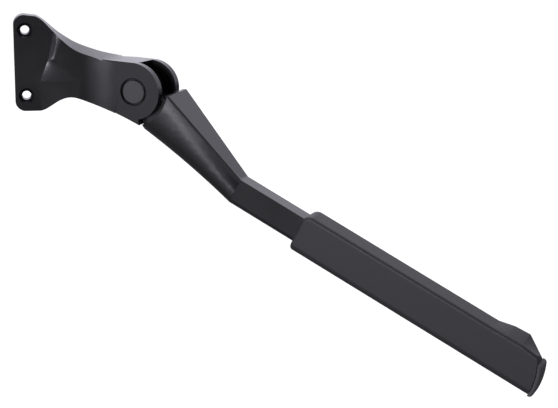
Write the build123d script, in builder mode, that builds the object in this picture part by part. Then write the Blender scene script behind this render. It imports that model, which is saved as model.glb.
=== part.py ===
from build123d import *

import os
from math import cos, radians, sin, sqrt, tan

# A folding bicycle stand that bolts to the frame with two screws.
# X runs from the bolts to the hinge, Y into the bicycle frame, Z along the line of the bolts.
# The origin lies between the two bolts on the face that meets the frame. Millimetres.

# Mounting plate
HOLE_SPACING = 40.0
HOLE_DIA = 5.5
HOLE_ENTRY_DIA = 9.5
PLATE_THICK = 8.0
PLATE_EDGE_X = -6.9
PLATE_TOP_Z = 29.4
PLATE_CORNER_R = 6.3
# Height, crisp upper line and soft lower line of the step on the plate
STEP_LINES = ((36.0, 22.8, 21.0), (2.0, 17.1, 13.6), (-12.0, 32.0, 8.0), (-40.0, 32.0, 8.0))

# Arm between the plate and the hinge
ARM_PROUD = 2.0
ARM_BEND_R = 50.0
ARM_REAR_START_X = 20.0
ARM_REAR_END_X = 58.0
REAR_LIMIT_Y = 12.0
ARM_FRONT_Y = -24.0

# Hinge
PIVOT = Vector(70.9, -6.3, -17.2)
PIVOT_TILT = 28.5
EAR_R = 17.0
EAR_RISE = 1.0
EAR_SPAN = 29.5
REAR_EAR_R = 16.7
REAR_EAR_SHIFT = 0.8
REAR_EAR_DROP = 0.7
# Lower edge of the ears behind the stop, across and above the pivot
EAR_SOLE = ((-12.3, -13.6), (-24.0, -9.6))
SLOT_WIDTH = 19.5
SLOT_FLOOR_ANGLE = 83.0
STOP_ANGLE = -80.0
STOP_CORNER_R = 20.6
TONGUE_R = 10.0
TONGUE_GAP = 0.5
FOLD_ANGLE = 97.0

# Pivot barrel and its screw
BARREL_DIA = 12.0
DISC_DIA = 14.6
DISC_THICK = 2.0
DISC_RECESS_DIA = 16.2
DISC_RECESS = 2.2
DISC_EDGE = 0.5
TENON_DIA = 10.0
TENON_FLATS = 8.0
TENON_LEN = 4.5
KEY_GAP = 0.05
SCREW_DIA = 6.0
SCREW_LEN = 14.0
SCREW_HEAD_DIA = 10.0
SCREW_HEAD_LEN = 6.0
SCREW_HEX = 5.0
WASHER_DIA = 16.0
WASHER_THICK = 1.2
LOCK_WASHER_DIA = 10.6
LOCK_WASHER_THICK = 1.5
LOCK_SPLIT = 1.0

# Bushes in the leg's tongue
BUSH_WALL = 1.0
BUSH_RUN = 0.04
BUSH_LEN = 3.2
FLANGE_THICK = 1.0
FLANGE_DIA = 19.0
FLANGE_GAP = 0.15

# Detent inside the leg
DETENT_ANGLE = -44.0
DETENT_FLAT = 5.2
DETENT_FLAT_WIDTH = 5.4
PLUNGER_DIA = 6.0
PLUNGER_TIP_DIA = 4.4
PLUNGER_TIP_R = 6.15
PLUNGER_TIP_LEN = 2.9
PLUNGER_LEN = 10.0
PLUNGER_SPIGOT = 4.0
PLUNGER_RUN = 0.1
SPRING_WIRE = 0.9
SPRING_DIA = 5.5
SPRING_PITCH = 2.2
BORE_END_R = 45.0

# Leg
SHOULDER_R = 20.8
HEAD_TOP_Z = -1.3
NECK_TOP_ANGLE = -17.0
NECK_DEPTH = 1.5
HEAD_HIGH = (17.9, 4.5)
HEAD_LOW = (-2.0, -20.6)
MIDDLE_HIGH = (37.5, -17.9)
MIDDLE_LOW = (22.5, -37.7)
KINK_TOP = 82.7
KINK_LOW = 81.0
STOP_GAP_ANGLE = 0.6
HEAD_HALF = 14.1
SHANK_HALF = 5.5
SHANK_ANGLE = -26.5
SHANK_HEIGHT = 17.4
SHANK_AXIS_N = -24.8
SHANK_START = 97.0
SHANK_END = 222.0
FLANGE_LIP = 1.6
SHANK_BELLY_R = 3.5
GROOVE_DEPTH = 2.4

# Foot
SLEEVE_START = 127.8
SLEEVE_HEIGHT = 25.6
SLEEVE_HALF = 9.0
SLEEVE_TOP_EDGE = 2.2
SLEEVE_LOW_EDGE = 5.0
SLEEVE_CORNER_R = 5.5
SLEEVE_END = 294.8
END_LEAN = 6.5
TOE_LEN = 36.8
FLARE_START = SLEEVE_END - TOE_LEN
FLARE_LEN = 20.0
FLARE_RISE = 3.4
POCKET_END = 250.0
SLIDE_GAP = 0.3
PAD_HALF = 7.6
PAD_THICK = 2.8
PAD_HEIGHT = 19.8
PAD_EDGE = 2.0

# Length clamp at the back of the sleeve
CLAMP_AT = 146.0
CLAMP_BOSS_DIA = 14.0
CLAMP_BOSS_LEN = 3.0
CLAMP_SCREW_DIA = 5.0
CLAMP_HEAD_DIA = 8.5
CLAMP_HEAD_LEN = 5.0
CLAMP_HEX = 4.0
CLAMP_HOLE_GAP = 0.15
NUT_ACROSS = 8.0
NUT_THICK = 3.0
SHOE_THICK = 1.0

# Longer than anything that is cut
CUT = 60.0

os.makedirs("parts", exist_ok=True)

across = Vector(cos(radians(PIVOT_TILT)), -sin(radians(PIVOT_TILT)), 0)
outward = Vector(-sin(radians(PIVOT_TILT)), -cos(radians(PIVOT_TILT)), 0)
upward = Vector(0, 0, 1)
ear_half = EAR_SPAN / 2
slot_half = SLOT_WIDTH / 2
tongue_half = slot_half - FLANGE_THICK - FLANGE_GAP


def leg_plane(w=0.0):
    """The plane of the leg's swing, w outwards of its middle. Sketch x is across, y is up."""
    return Plane(origin=PIVOT + outward * w, x_dir=across, z_dir=outward)


def leg_direction(angle):
    """The direction at an angle in the leg's plane."""
    return across * cos(radians(angle)) + upward * sin(radians(angle))


def polar(radius, angle):
    """A point of the leg's plane by its distance and angle from the pivot."""
    return (radius * cos(radians(angle)), radius * sin(radians(angle)))


def foot_plane(w=0.0):
    """The plane of the leg's swing with sketch x along the shank."""
    return Plane(origin=PIVOT + outward * w, x_dir=leg_direction(SHANK_ANGLE), z_dir=outward)


def foot_point(along, n):
    """A point of the foot's plane, given in the leg's plane."""
    turn = radians(SHANK_ANGLE)
    return (along * cos(turn) - n * sin(turn), along * sin(turn) + n * cos(turn))


def shank_section_plane(along):
    """The plane across the shank at a distance along it. Sketch x is outward, y is up the section."""
    low = foot_point(along, SHANK_AXIS_N - SHANK_HEIGHT / 2)
    origin = PIVOT + across * low[0] + upward * low[1]
    return Plane(origin=origin, x_dir=outward, z_dir=leg_direction(SHANK_ANGLE) * -1)


def section_plane(low, high):
    """The plane across the leg through two points of its plane. Sketch x is outward, y is from low to high."""
    origin = PIVOT + across * low[0] + upward * low[1]
    rise = (across * (high[0] - low[0]) + upward * (high[1] - low[1])).normalized()
    return Plane(origin=origin, x_dir=outward, z_dir=outward.cross(rise))


def distance(low, high):
    return sqrt((high[0] - low[0]) ** 2 + (high[1] - low[1]) ** 2)


def leg_outline(half, height, lip, groove):
    """Half of the leg's section: a flat flange on top, a groove below it and a full, round belly."""
    top = Line((0, height), (half, height))
    edge = Line(top @ 1, (half, height - lip))
    step = Line(edge @ 1, (half - groove, height - lip - 0.5 * groove))
    belly = Spline(step @ 1, (half - 0.2, 0.55 * height), (0.42 * half, 0), tangents=[(0.35, -1), (-1, -0.25)])
    Line(belly @ 1, (0, 0))
    mirror(about=Plane.YZ)


def shank_outline(height, gap=0.0):
    """The shank's section, flat on top with a round belly, or the pocket that clears it by a gap."""
    top = Line((0, height + gap), (SHANK_HALF + gap, height + gap))
    side = Line(top @ 1, (SHANK_HALF + gap, SHANK_BELLY_R))
    low = RadiusArc(side @ 1, (SHANK_HALF - SHANK_BELLY_R, -gap), SHANK_BELLY_R + gap)
    Line(low @ 1, (0, -gap))
    mirror(about=Plane.YZ)


def detent_plane(radius):
    """The plane across the plunger's bore at a distance from the pivot."""
    return Plane(origin=PIVOT + leg_direction(DETENT_ANGLE) * radius, x_dir=outward,
                 z_dir=leg_direction(DETENT_ANGLE))


# Bracket: plate, arm and the two ears of the hinge
plate_low_z = -PLATE_TOP_Z
arm_front_y = -PLATE_THICK - ARM_PROUD
ear_front = PIVOT + outward * ear_half
bend_x = ear_front.X - (arm_front_y - ear_front.Y) / tan(radians(PIVOT_TILT))
front_top = [(6.3, 28.6), (11.0, 25.0), (15.0, 18.6), (21.0, 11.5), (30.0, 4.2), (42.0, 0.8), (60.0, 1.1)]
rear_top = [(6.3, 28.4), (13.0, 24.8), (18.0, 21.4), (24.0, 17.2), (32.0, 11.8), (43.0, 5.8), (60.0, 0.0)]
low_edge = [(8.0, plate_low_z), (14.7, -26.4), (20.5, -22.9), (27.0, -21.4), (34.0, -23.2), (53.0, -31.0)]


def bracket_side(top_points, end_slope):
    """The outline of plate and arm, seen from the side of the bicycle."""
    top = Spline(*top_points, tangents=[(1, -0.35), end_slope])
    end = Line(top @ 1, low_edge[-1])
    low = Spline(end @ 1, *reversed(low_edge[:-1]), tangents=[(-1, 0.42), (-1, -0.1)])
    base = Line(low @ 1, (PLATE_EDGE_X + PLATE_CORNER_R, plate_low_z))
    corner = RadiusArc(base @ 1, (PLATE_EDGE_X, plate_low_z + PLATE_CORNER_R), PLATE_CORNER_R)
    edge = Line(corner @ 1, (PLATE_EDGE_X, PLATE_TOP_Z - PLATE_CORNER_R))
    crown = RadiusArc(edge @ 1, (PLATE_EDGE_X + PLATE_CORNER_R, PLATE_TOP_Z), PLATE_CORNER_R)
    Line(crown @ 1, top @ 0)


def ear_side(shift, lift, low_r, top_r):
    """The outline of an ear: a level top, a round nose and the face that stops the leg."""
    nose_x = shift + low_r
    crown = Line((EAR_SOLE[-1][0], lift + top_r + EAR_RISE), (nose_x - top_r, lift + top_r))
    nose = CenterArc((nose_x - top_r, lift), top_r, 90, -90)
    ray = Vector(*polar(1, STOP_ANGLE))
    along = ray.X * shift + ray.Y * lift
    reach = along + sqrt(along ** 2 - shift ** 2 - lift ** 2 + low_r ** 2)
    middle = polar(low_r, STOP_ANGLE / 2)
    chin = ThreePointArc(nose @ 1, (shift + middle[0], lift + middle[1]), polar(reach, STOP_ANGLE))
    stop = Line(chin @ 1, polar(STOP_CORNER_R, STOP_ANGLE))
    sole = Spline(stop @ 1, *EAR_SOLE)
    Line(sole @ 1, crown @ 0)


with BuildPart() as bracket:
    with BuildSketch(Plane.XZ.offset(-ARM_FRONT_Y)):
        with BuildLine():
            bracket_side(front_top, (1, 0.01))
        make_face()
    with BuildSketch(Plane.XZ.offset(-REAR_LIMIT_Y)):
        with BuildLine():
            bracket_side(rear_top, (1, -0.3))
        make_face()
    loft(ruled=True)
    # Seen from above: a flat plate, then an arm that bends towards the hinge's tilt
    with BuildSketch(Plane.XY.offset(-CUT)):
        with BuildLine():
            rear = Polyline((PLATE_EDGE_X, 0), (ARM_REAR_START_X, 0), (ARM_REAR_END_X, REAR_LIMIT_Y),
                            (PIVOT.X - 5, REAR_LIMIT_Y), (ear_front.X, ear_front.Y))
            bend = Line(rear @ 1, (bend_x, arm_front_y))
            face = Line(bend @ 1, (PLATE_EDGE_X, arm_front_y))
            Line(face @ 1, rear @ 0)
        make_face()
        bend_corner = vertices().sort_by_distance((bend_x, arm_front_y, -CUT))[0]
        fillet(bend_corner, ARM_BEND_R)
    extrude(amount=2 * CUT, mode=Mode.INTERSECT)
    # The step from the plate up to the arm's face: crisp near the top edge, fading out below the middle
    for height, crisp_x, soft_x in STEP_LINES:
        with BuildSketch(Plane.XY.offset(height)):
            with BuildLine():
                Polyline((soft_x, -PLATE_THICK), (crisp_x, arm_front_y), (crisp_x, -CUT), (-CUT, -CUT),
                         (-CUT, -PLATE_THICK), close=True)
            make_face()
    loft(ruled=True, mode=Mode.SUBTRACT)
    # The ears, with the corner that stops the leg. The rear one sits a little lower.
    with BuildSketch(leg_plane(-ear_half)):
        with BuildLine():
            ear_side(REAR_EAR_SHIFT, -REAR_EAR_DROP, REAR_EAR_R, REAR_EAR_R)
        make_face()
    with BuildSketch(leg_plane(ear_half)):
        with BuildLine():
            ear_side(0, 0, EAR_R, EAR_R + EAR_RISE)
        make_face()
    loft(ruled=True)
    # The back, flat against the frame and clear of the wheel
    with BuildSketch(Plane.XY.offset(-CUT)):
        with BuildLine():
            Polyline((-CUT, 0), (ARM_REAR_START_X, 0), (ARM_REAR_END_X, REAR_LIMIT_Y), (2 * CUT, REAR_LIMIT_Y),
                     (2 * CUT, CUT), (-CUT, CUT), close=True)
        make_face()
    extrude(amount=2 * CUT, mode=Mode.SUBTRACT)
    # The slot for the leg's tongue
    with BuildSketch(leg_plane(-slot_half)):
        Circle(TONGUE_R + TONGUE_GAP)
        with BuildLine():
            Polyline((0, 0), polar(CUT, STOP_ANGLE), (CUT, -CUT), (CUT, CUT), polar(CUT, SLOT_FLOOR_ANGLE),
                     close=True)
        make_face()
    extrude(amount=SLOT_WIDTH, mode=Mode.SUBTRACT)
    # Seat of the barrel: disc recess, round bore and keyed end
    with BuildSketch(leg_plane(ear_half)):
        Circle(DISC_RECESS_DIA / 2)
    extrude(amount=-DISC_RECESS, mode=Mode.SUBTRACT)
    recess_rim = edges().filter_by(GeomType.CIRCLE).filter_by(
        lambda rim: abs(rim.radius - DISC_RECESS_DIA / 2) < 0.01).sort_by(Axis(PIVOT, outward))[-1]
    chamfer(recess_rim, DISC_EDGE)
    with BuildSketch(leg_plane(ear_half)):
        Circle(BARREL_DIA / 2 + KEY_GAP)
    extrude(amount=-EAR_SPAN + TENON_LEN, mode=Mode.SUBTRACT)
    with BuildSketch(leg_plane(-ear_half)):
        Circle(TENON_DIA / 2 + KEY_GAP)
        Rectangle(TENON_DIA + 1, TENON_FLATS + 2 * KEY_GAP, mode=Mode.INTERSECT)
    extrude(amount=TENON_LEN, mode=Mode.SUBTRACT)
    # Bolt holes with eased entries
    with BuildSketch(Plane.XZ):
        with GridLocations(0, HOLE_SPACING, 1, 2):
            Circle(HOLE_DIA / 2)
    extrude(amount=PLATE_THICK, mode=Mode.SUBTRACT)
    hole_rims = edges().filter_by(GeomType.CIRCLE).filter_by(
        lambda rim: abs(rim.radius - HOLE_DIA / 2) < 0.01 and rim.center().Y < -1)
    chamfer(hole_rims, (HOLE_ENTRY_DIA - HOLE_DIA) / 2)
bracket.part.label = "bracket"
export_step(bracket.part, "parts/bracket.step")

# Pivot barrel: a disc at the front, a round body with two detent flats and a keyed end
disc_floor = ear_half - DISC_RECESS
tenon_start = -ear_half + TENON_LEN
with BuildPart() as pivot_barrel:
    with BuildSketch(leg_plane(disc_floor)):
        Circle(DISC_DIA / 2)
    extrude(amount=DISC_THICK)
    chamfer(faces().sort_by(Axis(PIVOT, outward))[-1].edges(), DISC_EDGE)
    with BuildSketch(leg_plane(tenon_start)):
        Circle(BARREL_DIA / 2)
    extrude(amount=disc_floor - tenon_start)
    with BuildSketch(leg_plane(-ear_half + KEY_GAP)):
        Circle(TENON_DIA / 2)
        Rectangle(TENON_DIA + 1, TENON_FLATS, mode=Mode.INTERSECT)
    extrude(amount=TENON_LEN - KEY_GAP)
    with BuildSketch(leg_plane(-ear_half)):
        Circle(SCREW_DIA / 2)
    extrude(amount=SCREW_LEN, mode=Mode.SUBTRACT)
    for flat_angle in (DETENT_ANGLE, DETENT_ANGLE + FOLD_ANGLE):
        with BuildSketch(Plane(origin=PIVOT + leg_direction(flat_angle) * DETENT_FLAT, x_dir=outward,
                               z_dir=leg_direction(flat_angle))):
            Rectangle(DETENT_FLAT_WIDTH, BARREL_DIA)
        extrude(amount=BARREL_DIA, mode=Mode.SUBTRACT)
pivot_barrel.part.label = "pivot_barrel"
export_step(pivot_barrel.part, "parts/pivot_barrel.step")

# Washers and screw at the back of the hinge
washer_back = -ear_half - WASHER_THICK
lock_back = washer_back - LOCK_WASHER_THICK
with BuildPart() as pivot_washer:
    with BuildSketch(leg_plane(washer_back)):
        Circle(WASHER_DIA / 2)
        Circle(SCREW_DIA / 2 + 0.2, mode=Mode.SUBTRACT)
    extrude(amount=WASHER_THICK)
pivot_washer.part.label = "pivot_washer"
export_step(pivot_washer.part, "parts/pivot_washer.step")

with BuildPart() as lock_washer:
    with BuildSketch(leg_plane(lock_back)):
        Circle(LOCK_WASHER_DIA / 2)
        Circle(SCREW_DIA / 2 + 0.1, mode=Mode.SUBTRACT)
        with Locations((LOCK_WASHER_DIA / 2, 0)):
            Rectangle(LOCK_WASHER_DIA, LOCK_SPLIT, rotation=0, mode=Mode.SUBTRACT)
    extrude(amount=LOCK_WASHER_THICK)
lock_washer.part.label = "lock_washer"
export_step(lock_washer.part, "parts/lock_washer.step")

with BuildPart() as pivot_screw:
    with BuildSketch(leg_plane(lock_back - SCREW_HEAD_LEN)):
        Circle(SCREW_HEAD_DIA / 2)
    extrude(amount=SCREW_HEAD_LEN)
    chamfer(faces().sort_by(Axis(PIVOT, outward))[0].edges(), 0.5)
    with BuildSketch(leg_plane(lock_back)):
        Circle(SCREW_DIA / 2 - KEY_GAP)
    extrude(amount=SCREW_LEN)
    with BuildSketch(leg_plane(lock_back - SCREW_HEAD_LEN)):
        RegularPolygon(SCREW_HEX / 2, 6, major_radius=False)
    extrude(amount=SCREW_HEAD_LEN / 2, mode=Mode.SUBTRACT)
pivot_screw.part.label = "pivot_screw"
export_step(pivot_screw.part, "parts/pivot_screw.step")

# Leg: a tapered upper part with a groove under its flange, bent into a flat shank
kink_high = foot_point(KINK_TOP, SHANK_AXIS_N + SHANK_HEIGHT / 2)
kink_low = foot_point(KINK_LOW, SHANK_AXIS_N - SHANK_HEIGHT / 2)
head_run = distance(HEAD_HIGH, MIDDLE_HIGH) / distance(HEAD_HIGH, kink_high)
middle_half = HEAD_HALF + (SHANK_HALF - HEAD_HALF) * head_run
bush_outer = BARREL_DIA / 2 + BUSH_RUN + BUSH_WALL
with BuildPart() as leg:
    with BuildSketch(section_plane(HEAD_LOW, HEAD_HIGH)):
        with BuildLine():
            leg_outline(HEAD_HALF, distance(HEAD_LOW, HEAD_HIGH), FLANGE_LIP, GROOVE_DEPTH)
        make_face()
    with BuildSketch(section_plane(MIDDLE_LOW, MIDDLE_HIGH)):
        with BuildLine():
            leg_outline(middle_half, distance(MIDDLE_LOW, MIDDLE_HIGH), FLANGE_LIP, GROOVE_DEPTH)
        make_face()
    with BuildSketch(section_plane(kink_low, kink_high)):
        with BuildLine():
            leg_outline(SHANK_HALF, distance(kink_low, kink_high), FLANGE_LIP, GROOVE_DEPTH)
        make_face()
    loft()
    # The shoulder that clears the ears, the flat end on top and the face towards the stop
    with BuildSketch(leg_plane(-CUT)):
        Circle(SHOULDER_R)
        with BuildLine():
            Polyline((-CUT, HEAD_TOP_Z), (CUT, HEAD_TOP_Z), (CUT, CUT), (-CUT, CUT), close=True)
        make_face()
        with BuildLine():
            Polyline((0, 0), polar(CUT, STOP_ANGLE + STOP_GAP_ANGLE), (-CUT, -CUT), (-CUT, 0), close=True)
        make_face()
    extrude(amount=2 * CUT, mode=Mode.SUBTRACT)
    # The shank
    with BuildSketch(section_plane(kink_low, kink_high)):
        with BuildLine():
            shank_outline(distance(kink_low, kink_high))
        make_face()
    with BuildSketch(shank_section_plane(SHANK_START)):
        with BuildLine():
            shank_outline(SHANK_HEIGHT)
        make_face()
    loft(ruled=True)
    with BuildSketch(shank_section_plane(SHANK_START)):
        with BuildLine():
            shank_outline(SHANK_HEIGHT)
        make_face()
    extrude(amount=SHANK_START - SHANK_END)
    # The tongue and its neck
    with BuildSketch(leg_plane(-tongue_half)):
        Circle(TONGUE_R)
        with BuildLine():
            Polyline((0, 0), polar(SHOULDER_R + NECK_DEPTH, NECK_TOP_ANGLE),
                     polar(SHOULDER_R + 3 * NECK_DEPTH, (NECK_TOP_ANGLE + STOP_ANGLE) / 2),
                     polar(SHOULDER_R + NECK_DEPTH, STOP_ANGLE + STOP_GAP_ANGLE), close=True)
        make_face()
    extrude(amount=2 * tongue_half)
    with BuildSketch(leg_plane(-tongue_half)):
        Circle(bush_outer)
    extrude(amount=2 * tongue_half, mode=Mode.SUBTRACT)
    with BuildSketch(detent_plane(-TONGUE_R - 2)):
        Circle(PLUNGER_DIA / 2 + PLUNGER_RUN)
    extrude(amount=BORE_END_R + TONGUE_R + 2, mode=Mode.SUBTRACT)
leg.part.label = "leg"
export_step(leg.part, "parts/leg.step")

# Flanged bushes, one pressed into each side of the tongue
for name, side in (("bush_front", 1), ("bush_rear", -1)):
    with BuildPart() as bush:
        with BuildSketch(leg_plane(side * tongue_half)):
            Circle(FLANGE_DIA / 2)
            Circle(BARREL_DIA / 2 + BUSH_RUN, mode=Mode.SUBTRACT)
        extrude(amount=side * FLANGE_THICK)
        with BuildSketch(leg_plane(side * tongue_half)):
            Circle(bush_outer)
            Circle(BARREL_DIA / 2 + BUSH_RUN, mode=Mode.SUBTRACT)
        extrude(amount=-side * BUSH_LEN)
    bush.part.label = name
    export_step(bush.part, f"parts/{name}.step")

# Detent plunger, drawn clear of the barrel
plunger_back = PLUNGER_TIP_R + PLUNGER_TIP_LEN + PLUNGER_LEN
with BuildPart() as detent_plunger:
    with BuildSketch(detent_plane(PLUNGER_TIP_R)):
        Circle(PLUNGER_TIP_DIA / 2)
    extrude(amount=PLUNGER_TIP_LEN)
    with BuildSketch(detent_plane(PLUNGER_TIP_R + PLUNGER_TIP_LEN)):
        Circle(PLUNGER_DIA / 2)
    extrude(amount=PLUNGER_LEN)
    with BuildSketch(detent_plane(plunger_back)):
        Circle(SPRING_DIA / 2 - SPRING_WIRE - 0.2)
    extrude(amount=PLUNGER_SPIGOT)
detent_plunger.part.label = "detent_plunger"
export_step(detent_plunger.part, "parts/detent_plunger.step")

# Detent spring between the plunger and the end of its bore
spring_start = plunger_back + SPRING_WIRE / 2 + 0.05
spring_height = BORE_END_R - SPRING_WIRE / 2 - 0.05 - spring_start
spring_r = (SPRING_DIA - SPRING_WIRE) / 2
with BuildPart() as detent_spring:
    with BuildLine():
        coil = Helix(SPRING_PITCH, spring_height, spring_r, center=detent_plane(spring_start).origin,
                     direction=leg_direction(DETENT_ANGLE))
    with BuildSketch(Plane(origin=coil @ 0, z_dir=coil % 0)):
        Circle(SPRING_WIRE / 2)
    sweep(is_frenet=True)
detent_spring.part.label = "detent_spring"
export_step(detent_spring.part, "parts/detent_spring.step")

# Foot sleeve: slides on the shank, flares into a toe and carries the clamp's boss at the back
sleeve_top = SHANK_AXIS_N + SLEEVE_HEIGHT / 2
sleeve_low = SHANK_AXIS_N - SLEEVE_HEIGHT / 2
pocket_half = SHANK_HALF + SLIDE_GAP
clamp_face = -SLEEVE_HALF - CLAMP_BOSS_LEN
nut_floor = -pocket_half - NUT_THICK - SHOE_THICK
sleeve_reach = SLEEVE_END + END_LEAN
end_top = (SLEEVE_END - END_LEAN, sleeve_top)
end_middle = (SLEEVE_END - 0.2 * END_LEAN, sleeve_top - SLEEVE_HEIGHT * 0.47)


def sleeve_side(rise):
    """The outline of the sleeve from the side, with a toe that swells by a rise and then slopes away."""
    low = Line((sleeve_reach, sleeve_low), (SLEEVE_START, sleeve_low))
    mouth = Line(low @ 1, (SLEEVE_START, sleeve_top - SLEEVE_CORNER_R))
    corner = RadiusArc(mouth @ 1, (SLEEVE_START + SLEEVE_CORNER_R, sleeve_top), SLEEVE_CORNER_R)
    top = Line(corner @ 1, (FLARE_START, sleeve_top))
    swell = Line(top @ 1, (FLARE_START + FLARE_LEN / 2, sleeve_top + 0.8 * rise))
    crest = Line(swell @ 1, (FLARE_START + FLARE_LEN, sleeve_top + rise))
    slope = Line(crest @ 1, (sleeve_reach, sleeve_top - 4.4 * rise))
    Line(slope @ 1, low @ 0)


with BuildPart() as foot_sleeve:
    with BuildSketch(foot_plane(-SLEEVE_HALF)):
        with BuildLine():
            sleeve_side(FLARE_RISE)
        make_face()
    with BuildSketch(foot_plane(SLEEVE_HALF)):
        with BuildLine():
            sleeve_side(0.02)
        make_face()
    loft(ruled=True)
    up_foot = Axis(PIVOT, foot_plane().y_dir)
    sleeve_axis = Axis(PIVOT, leg_direction(SHANK_ANGLE))
    rims = edges().filter_by(lambda e: abs((e.center() - PIVOT).dot(outward)) > SLEEVE_HALF - 0.01)
    fillet(rims.sort_by(up_foot)[:2], SLEEVE_LOW_EDGE)
    # The end of the foot, a shallow curve across its whole thickness
    with BuildSketch(foot_plane(-2 * SLEEVE_HALF)):
        with BuildLine():
            end = ThreePointArc(end_top, end_middle, (SLEEVE_END, sleeve_low))
            Polyline(end @ 1, (SLEEVE_END, sleeve_low - CUT), (sleeve_reach + CUT, sleeve_low - CUT),
                     (sleeve_reach + CUT, sleeve_top + CUT), (end_top[0], sleeve_top + CUT), end @ 0)
        make_face()
    extrude(amount=4 * SLEEVE_HALF, mode=Mode.SUBTRACT)
    rims = edges().filter_by(lambda e: abs((e.center() - PIVOT).dot(outward)) > SLEEVE_HALF - 0.01)
    upper_rims = rims.sort_by(sleeve_axis)[2:].sort_by(up_foot)[4:]
    fillet(upper_rims, SLEEVE_TOP_EDGE)
    with BuildSketch(foot_plane(-SLEEVE_HALF)):
        with Locations((CLAMP_AT, SHANK_AXIS_N)):
            Circle(CLAMP_BOSS_DIA / 2)
    extrude(amount=-CLAMP_BOSS_LEN)
    # The pocket follows the shank's section all round
    with BuildSketch(shank_section_plane(SLEEVE_START)):
        with BuildLine():
            shank_outline(SHANK_HEIGHT, SLIDE_GAP)
        make_face()
    extrude(amount=SLEEVE_START - POCKET_END, mode=Mode.SUBTRACT)
    # Hole for the clamp screw and the hexagon that keeps its nut
    with BuildSketch(foot_plane(clamp_face)):
        with Locations((CLAMP_AT, SHANK_AXIS_N)):
            Circle(CLAMP_SCREW_DIA / 2 + CLAMP_HOLE_GAP)
    extrude(amount=SLEEVE_HALF, mode=Mode.SUBTRACT)
    with BuildSketch(foot_plane(nut_floor)):
        with Locations((CLAMP_AT, SHANK_AXIS_N)):
            RegularPolygon(NUT_ACROSS / 2 + CLAMP_HOLE_GAP, 6, major_radius=False)
    extrude(amount=SLEEVE_HALF, mode=Mode.SUBTRACT)
foot_sleeve.part.label = "foot_sleeve"
export_step(foot_sleeve.part, "parts/foot_sleeve.step")

# Rubber pad on the curved end of the foot
with BuildPart() as foot_pad:
    with BuildSketch(foot_plane(-PAD_HALF)):
        with BuildLine():
            seat = ThreePointArc(end_top, end_middle, (SLEEVE_END, sleeve_low))
            tread = ThreePointArc((end_top[0] + PAD_THICK, sleeve_top), (end_middle[0] + PAD_THICK, end_middle[1]),
                                  (SLEEVE_END + PAD_THICK, sleeve_low))
            Line(seat @ 0, tread @ 0)
            Line(seat @ 1, tread @ 1)
        make_face()
        with Locations((SLEEVE_END, sleeve_low + PAD_HEIGHT + SLEEVE_HEIGHT / 2)):
            Rectangle(4 * END_LEAN, SLEEVE_HEIGHT, mode=Mode.SUBTRACT)
    extrude(amount=2 * PAD_HALF)
    tread_face = faces().sort_by(Axis(PIVOT, leg_direction(SHANK_ANGLE)))[-1]
    fillet(tread_face.edges(), PAD_EDGE)
foot_pad.part.label = "foot_pad"
export_step(foot_pad.part, "parts/foot_pad.step")

# Clamp screw, its nut and the shoe that bears on the shank
with BuildPart() as clamp_screw:
    with BuildSketch(foot_plane(clamp_face - CLAMP_HEAD_LEN)):
        with Locations((CLAMP_AT, SHANK_AXIS_N)):
            Circle(CLAMP_HEAD_DIA / 2)
    extrude(amount=CLAMP_HEAD_LEN)
    with BuildSketch(foot_plane(clamp_face)):
        with Locations((CLAMP_AT, SHANK_AXIS_N)):
            Circle(CLAMP_SCREW_DIA / 2)
    extrude(amount=-pocket_half - SHOE_THICK - clamp_face)
    with BuildSketch(foot_plane(clamp_face - CLAMP_HEAD_LEN)):
        with Locations((CLAMP_AT, SHANK_AXIS_N)):
            RegularPolygon(CLAMP_HEX / 2, 6, major_radius=False)
    extrude(amount=CLAMP_HEAD_LEN / 2, mode=Mode.SUBTRACT)
clamp_screw.part.label = "clamp_screw"
export_step(clamp_screw.part, "parts/clamp_screw.step")

with BuildPart() as clamp_nut:
    with BuildSketch(foot_plane(nut_floor)):
        with Locations((CLAMP_AT, SHANK_AXIS_N)):
            RegularPolygon(NUT_ACROSS / 2, 6, major_radius=False)
            Circle(CLAMP_SCREW_DIA / 2 + KEY_GAP, mode=Mode.SUBTRACT)
    extrude(amount=NUT_THICK)
clamp_nut.part.label = "clamp_nut"
export_step(clamp_nut.part, "parts/clamp_nut.step")

with BuildPart() as clamp_shoe:
    with BuildSketch(foot_plane(-pocket_half - SHOE_THICK)):
        with Locations((CLAMP_AT, SHANK_AXIS_N)):
            RegularPolygon(NUT_ACROSS / 2, 6, major_radius=False)
    extrude(amount=SHOE_THICK)
clamp_shoe.part.label = "clamp_shoe"
export_step(clamp_shoe.part, "parts/clamp_shoe.step")
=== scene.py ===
# %% [markdown]
# # A bicycle kickstand, dressed for its portrait
# The stand bolts to the rear of a bicycle frame. Its shapes come from the CAD model, which is loaded here
# as a fixed frame: every object below is in metres and in the CAD model's own axes, so nothing has to be
# fitted. The work that is left is what makes metal look like metal: soft edges, paint, moulded plastic,
# light and a camera.

# %% Load the frame
from math import radians

import bpy
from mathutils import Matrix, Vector

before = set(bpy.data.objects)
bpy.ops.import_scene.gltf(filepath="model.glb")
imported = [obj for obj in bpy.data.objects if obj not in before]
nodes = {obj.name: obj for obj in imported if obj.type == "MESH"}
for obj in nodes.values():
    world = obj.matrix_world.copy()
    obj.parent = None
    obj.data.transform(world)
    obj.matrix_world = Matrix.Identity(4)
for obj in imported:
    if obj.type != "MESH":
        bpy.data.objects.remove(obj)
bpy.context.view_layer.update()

scene = bpy.context.scene
MM = 0.001
print("nodes:", sorted(nodes))

# %% [markdown]
# ## The camera
# The picture was taken from the outer side of the bicycle, a little above the stand, with a long lens. The
# two bolt holes are 40 mm apart and lie on a straight line, and the pivot's disc is a circle, so together
# they give the camera's place and direction. A long lens keeps the far end of the leg almost the same scale
# as the plate.

# %% Place the camera
IMAGE_WIDTH = 558
FOCAL_LENGTH_PX = 1950
CAMERA_PLACE_MM = (0.4, -1184.4, 194.7)
CAMERA_TURN = -7.463
CAMERA_DOWN = 13.605

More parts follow.
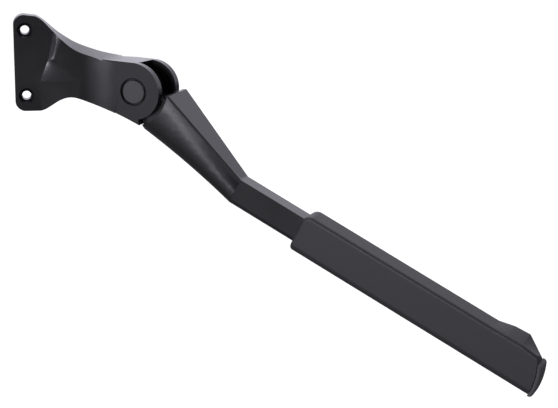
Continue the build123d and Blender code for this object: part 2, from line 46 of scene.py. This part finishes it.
lens = bpy.data.cameras.new("portrait_camera")
lens.sensor_width = 36
lens.lens = lens.sensor_width * FOCAL_LENGTH_PX / IMAGE_WIDTH
lens.clip_end = 50
camera = bpy.data.objects.new("portrait_camera", lens)
camera.location = [value * MM for value in CAMERA_PLACE_MM]
camera.rotation_euler = (radians(90 - CAMERA_DOWN), 0, radians(CAMERA_TURN))
scene.collection.objects.link(camera)
scene.camera = camera
scene.view_settings.view_transform = "Standard"
print("lens", round(lens.lens, 1), "mm")

# %% [markdown]
# ## Tools for finishes
# A colour is written the way a paint chart gives it, as an sRGB hex value, and Blender's nodes want linear
# light, so one function converts it. A second small function adds a node, sets it up and links it.

# %% Colour and node helpers
def linear(code):
    """A colour such as "#1B1B1D" as linear red, green, blue and alpha."""
    channels = [int(code[i:i + 2], 16) / 255 for i in (1, 3, 5)]
    return [c / 12.92 if c <= 0.04045 else ((c + 0.055) / 1.055) ** 2.4 for c in channels] + [1.0]


def add(tree, kind, inputs=None, **settings):
    """Adds a node of a kind, with its settings, and links or fills its inputs."""
    node = tree.nodes.new(kind)
    for name, value in settings.items():
        setattr(node, name, value)
    for name, value in (inputs or {}).items():
        if isinstance(value, bpy.types.NodeSocket):
            tree.links.new(value, node.inputs[name])
        else:
            node.inputs[name].default_value = value
    return node


def new_finish(name, ior=1.5, metallic=0.0):
    """An empty material with its shader, and the place on the object that patterns follow."""
    material = bpy.data.materials.new(name)
    material.use_nodes = True
    tree = material.node_tree
    shader = tree.nodes["Principled BSDF"]
    shader.inputs["IOR"].default_value = ior
    shader.inputs["Metallic"].default_value = metallic
    place = add(tree, "ShaderNodeTexCoord").outputs["Object"]
    return material, tree, shader, place


# %% [markdown]
# ## Satin black paint on cast aluminium
# Bracket and leg are aluminium castings, sprayed with a satin black powder and baked. The powder flows into
# a skin with a faint orange peel about 1.5 mm across. The grain of the casting below is finer than that and
# is drawn at 0.9 mm here because a pixel of the picture covers 0.6 mm. Black paint shows almost no colour
# of its own: what the eye reads is the sheen, dim where the surface faces us and bright where it is seen at
# a low angle, which is what a plain dielectric shader does by itself.

# %% Make the paint
ORANGE_PEEL_MM = 1.5
CAST_GRAIN_MM = 0.9
CLOUD_MM = 30.0


def painted_casting():
    material, tree, shader, place = new_finish("satin_powder_coat_on_cast_aluminium")
    cloud = add(tree, "ShaderNodeTexNoise", {"Vector": place, "Scale": 1 / (CLOUD_MM * MM), "Detail": 4.0})
    peel = add(tree, "ShaderNodeTexNoise", {"Vector": place, "Scale": 1 / (ORANGE_PEEL_MM * MM), "Detail": 2.0})
    grain = add(tree, "ShaderNodeTexNoise", {"Vector": place, "Scale": 1 / (CAST_GRAIN_MM * MM), "Detail": 3.0})
    colour = add(tree, "ShaderNodeMix", {"Factor": cloud.outputs["Fac"], "A": linear("#0A0A0B"),
                                         "B": linear("#0F0F11")}, data_type="RGBA")
    tree.links.new(colour.outputs["Result"], shader.inputs["Base Color"])
    gloss = add(tree, "ShaderNodeMapRange", {"Value": cloud.outputs["Fac"], "From Min": 0.3, "From Max": 0.7,
                                             "To Min": 0.26, "To Max": 0.33})
    tree.links.new(gloss.outputs["Result"], shader.inputs["Roughness"])
    skin = add(tree, "ShaderNodeBump", {"Height": peel.outputs["Fac"], "Strength": 0.12, "Distance": 0.05 * MM})
    cast = add(tree, "ShaderNodeBump", {"Height": grain.outputs["Fac"], "Strength": 0.3, "Distance": 0.05 * MM,
                                        "Normal": skin.outputs["Normal"]})
    tree.links.new(cast.outputs["Normal"], shader.inputs["Normal"])
    return material


paint = painted_casting()
print("made", paint.name)

# %% [markdown]
# ## Moulded black nylon
# The foot sleeve is injection moulded in a tool with a spark-eroded surface, which prints a fine dull grain
# on the plastic. The grain is under 0.1 mm on the real sleeve; it is drawn at 0.6 mm here so that it shows
# at all.

# %% Make the nylon
SPARK_GRAIN_MM = 0.6
FLOW_MM = 45.0


def moulded_nylon():
    material, tree, shader, place = new_finish("spark_eroded_moulded_nylon", ior=1.53)
    flow = add(tree, "ShaderNodeTexNoise", {"Vector": place, "Scale": 1 / (FLOW_MM * MM), "Detail": 3.0})
    grain = add(tree, "ShaderNodeTexNoise", {"Vector": place, "Scale": 1 / (SPARK_GRAIN_MM * MM), "Detail": 4.0})
    colour = add(tree, "ShaderNodeMix", {"Factor": flow.outputs["Fac"], "A": linear("#19191A"),
                                         "B": linear("#1F1F20")}, data_type="RGBA")
    tree.links.new(colour.outputs["Result"], shader.inputs["Base Color"])
    dull = add(tree, "ShaderNodeMapRange", {"Value": grain.outputs["Fac"], "From Min": 0.3, "From Max": 0.7,
                                            "To Min": 0.54, "To Max": 0.64})
    tree.links.new(dull.outputs["Result"], shader.inputs["Roughness"])
    spark = add(tree, "ShaderNodeBump", {"Height": grain.outputs["Fac"], "Strength": 0.25, "Distance": 0.04 * MM})
    tree.links.new(spark.outputs["Normal"], shader.inputs["Normal"])
    return material


nylon = moulded_nylon()
print("made", nylon.name)

# %% [markdown]
# ## Rubber, steel, bronze and brass
# The sole is black rubber, duller and a little greyer than the nylon. The barrel has a black coat. Screws
# and washers are zinc-plated steel, the plunger and its spring are bare hardened steel, the bushes are
# sintered bronze full of fine pores, and the clamp's shoe is brass so that it doesn't mark the shank. All
# of them vary a little over their surface, so one function makes the set.

# %% Make the small pieces' finishes
def speckled(name, dark, light, grain_mm, rough, bump, ior=1.5, metallic=0.0):
    """A finish that wanders between two tones with a fine surface grain."""
    material, tree, shader, place = new_finish(name, ior, metallic)
    grain = add(tree, "ShaderNodeTexNoise", {"Vector": place, "Scale": 1 / (grain_mm * MM), "Detail": 5.0})
    colour = add(tree, "ShaderNodeMix", {"Factor": grain.outputs["Fac"], "A": linear(dark), "B": linear(light)},
                 data_type="RGBA")
    tree.links.new(colour.outputs["Result"], shader.inputs["Base Color"])
    dull = add(tree, "ShaderNodeMapRange", {"Value": grain.outputs["Fac"], "From Min": 0.3, "From Max": 0.7,
                                            "To Min": rough[0], "To Max": rough[1]})
    tree.links.new(dull.outputs["Result"], shader.inputs["Roughness"])
    pores = add(tree, "ShaderNodeBump", {"Height": grain.outputs["Fac"], "Strength": bump, "Distance": 0.05 * MM})
    tree.links.new(pores.outputs["Normal"], shader.inputs["Normal"])
    return material


rubber = speckled("moulded_black_rubber", "#404040", "#4E4E4E", 0.8, (0.68, 0.8), 0.4, ior=1.52)
black_steel = speckled("black_coated_steel", "#2C2C2E", "#343436", 1.2, (0.36, 0.46), 0.1)
zinc = speckled("zinc_plated_steel", "#A9A9A6", "#C4C3BE", 2.0, (0.28, 0.42), 0.1, metallic=1.0)
hard_steel = speckled("hardened_spring_steel", "#6A6A6D", "#85858A", 1.0, (0.25, 0.38), 0.1, metallic=1.0)
bronze = speckled("sintered_bronze", "#7A5A36", "#9C7748", 0.5, (0.4, 0.55), 0.3, metallic=1.0)
brass = speckled("drawn_brass", "#B08D45", "#C9A85C", 1.5, (0.28, 0.4), 0.1, metallic=1.0)

FINISHES = {
    "bracket": paint, "leg": paint, "pivot_barrel": black_steel, "pivot_screw": zinc, "pivot_washer": zinc,
    "lock_washer": hard_steel, "bush_front": bronze, "bush_rear": bronze, "detent_plunger": hard_steel,
    "detent_spring": hard_steel, "foot_sleeve": nylon, "foot_pad": rubber, "clamp_screw": zinc,
    "clamp_nut": zinc, "clamp_shoe": brass,
}
for name, finish in FINISHES.items():
    node = nodes[name]
    for slot in node.material_slots:
        slot.material = finish
    print(name, "is", finish.name)

# %% [markdown]
# ## Soft edges
# Nothing that is cast, painted or moulded has a knife edge: the paint pulls back and the tool has a small
# radius. A bevel modifier rounds every edge that turns by more than its angle and leaves the mesh itself
# alone.

# %% Round the edges
EDGE_MM = {"bracket": 0.8, "leg": 0.5, "foot_sleeve": 0.6, "pivot_barrel": 0.15, "pivot_screw": 0.2,
           "clamp_screw": 0.2}
EDGE_ANGLE = 35
EDGE_SEGMENTS = 3
WELD_MM = 0.005
for name, width in EDGE_MM.items():
    node = nodes[name]
    weld = node.modifiers.new("weld", "WELD")
    weld.merge_threshold = WELD_MM * MM
    bevel = node.modifiers.new("soft_edge", "BEVEL")
    bevel.width = width * MM
    bevel.segments = EDGE_SEGMENTS
    bevel.limit_method = "ANGLE"
    bevel.angle_limit = radians(EDGE_ANGLE)
    node.modifiers.new("even_shading", "WEIGHTED_NORMAL")
    print(name, "edges", width, "mm")

# %% [markdown]
# ## Studio
# The stand hangs in front of a white sweep. One softbox overhead and one behind light the top strips, a
# weak one on the left lifts the ear, the shank and the sleeve, and a small bright one at the front left
# draws the streak along the upper leg's belly. The room on the camera's side is dim, so faces that look
# straight at us stay almost black. The sweep and the world are plain white to the camera only; in
# reflections they keep their own, cooler light.

# %% Build the floor, the lamps and the world
FLOOR_Z = -0.30
FLOOR_SIZE = 12.0
FLOOR_Y = 3.0
PAPER_FIBRE_MM = 4.0
PAPER_GLOW = 0.92

bpy.ops.mesh.primitive_plane_add(size=FLOOR_SIZE, location=(0, FLOOR_Y, FLOOR_Z))
floor = bpy.context.object
floor.name = "floor"
pale, tree, shader, place = new_finish("pale_paper_sweep")
shader.inputs["Roughness"].default_value = 0.9
fibre = add(tree, "ShaderNodeTexNoise", {"Vector": place, "Scale": 1 / (PAPER_FIBRE_MM * MM), "Detail": 4.0})
paper = add(tree, "ShaderNodeMix", {"Factor": fibre.outputs["Fac"], "A": linear("#868686"),
                                    "B": linear("#8E8E8E")}, data_type="RGBA")
tree.links.new(paper.outputs["Result"], shader.inputs["Base Color"])
shader.inputs["Emission Color"].default_value = (1, 1, 1, 1)
light_path = add(tree, "ShaderNodeLightPath")
seen = add(tree, "ShaderNodeMath", {0: light_path.outputs["Is Camera Ray"], 1: PAPER_GLOW},
           operation="MULTIPLY")
tree.links.new(seen.outputs[0], shader.inputs["Emission Strength"])
floor.data.materials.append(pale)


def softbox(name, place, target, size, power):
    """A square lamp that faces a point."""
    lamp = bpy.data.lights.new(name, "AREA")
    lamp.size = size
    lamp.energy = power
    lamp.color = linear("#F6F4FF")[:3]
    holder = bpy.data.objects.new(name, lamp)
    holder.location = place
    aim = [t - p for t, p in zip(target, place)]
    holder.rotation_euler = Vector(aim).to_track_quat("-Z", "Y").to_euler()
    holder.visible_camera = False
    scene.collection.objects.link(holder)
    print(name, power, "W")


MIDDLE = (0.13, -0.06, -0.07)
UPPER_LEG = (0.09, -0.02, -0.05)
softbox("overhead_softbox", (0.15, 0.35, 1.1), MIDDLE, 1.2, 9)
softbox("back_softbox", (0.35, 1.5, 0.45), MIDDLE, 1.4, 3.5)
softbox("left_softbox", (-0.95, -0.6, -0.1), MIDDLE, 0.6, 1.2)
softbox("front_softbox", (-0.5, -1.04, 0.18), UPPER_LEG, 0.26, 11)

ROOM_LEVEL = 0.3
DIM_SIDE = 0.02
world = bpy.data.worlds.new("white_sweep")
scene.world = world
world.use_nodes = True
tree = world.node_tree
background = tree.nodes["Background"]
rays = add(tree, "ShaderNodeLightPath")
direction = add(tree, "ShaderNodeTexCoord").outputs["Generated"]
parts = add(tree, "ShaderNodeSeparateXYZ", {"Vector": direction})
behind = add(tree, "ShaderNodeMapRange", {"Value": parts.outputs["Y"], "From Min": -0.2, "From Max": 0.4,
                                          "To Min": DIM_SIDE, "To Max": 1.0})
mirrored = add(tree, "ShaderNodeMath", {0: rays.outputs["Is Glossy Ray"],
                                        1: rays.outputs["Is Transmission Ray"]}, operation="MAXIMUM")
room = add(tree, "ShaderNodeMix", {"Factor": mirrored.outputs[0], "A": ROOM_LEVEL, "B": behind.outputs["Result"]},
           data_type="FLOAT")
level = add(tree, "ShaderNodeMath", {0: rays.outputs["Is Camera Ray"], 1: room.outputs["Result"]},
            operation="MAXIMUM")
tree.links.new(level.outputs[0], background.inputs["Strength"])
tint = add(tree, "ShaderNodeMix", {"Factor": rays.outputs["Is Camera Ray"], "A": linear("#F1EEFC"),
                                   "B": (1, 1, 1, 1)}, data_type="RGBA")
tree.links.new(tint.outputs["Result"], background.inputs["Color"])
print("world ready")
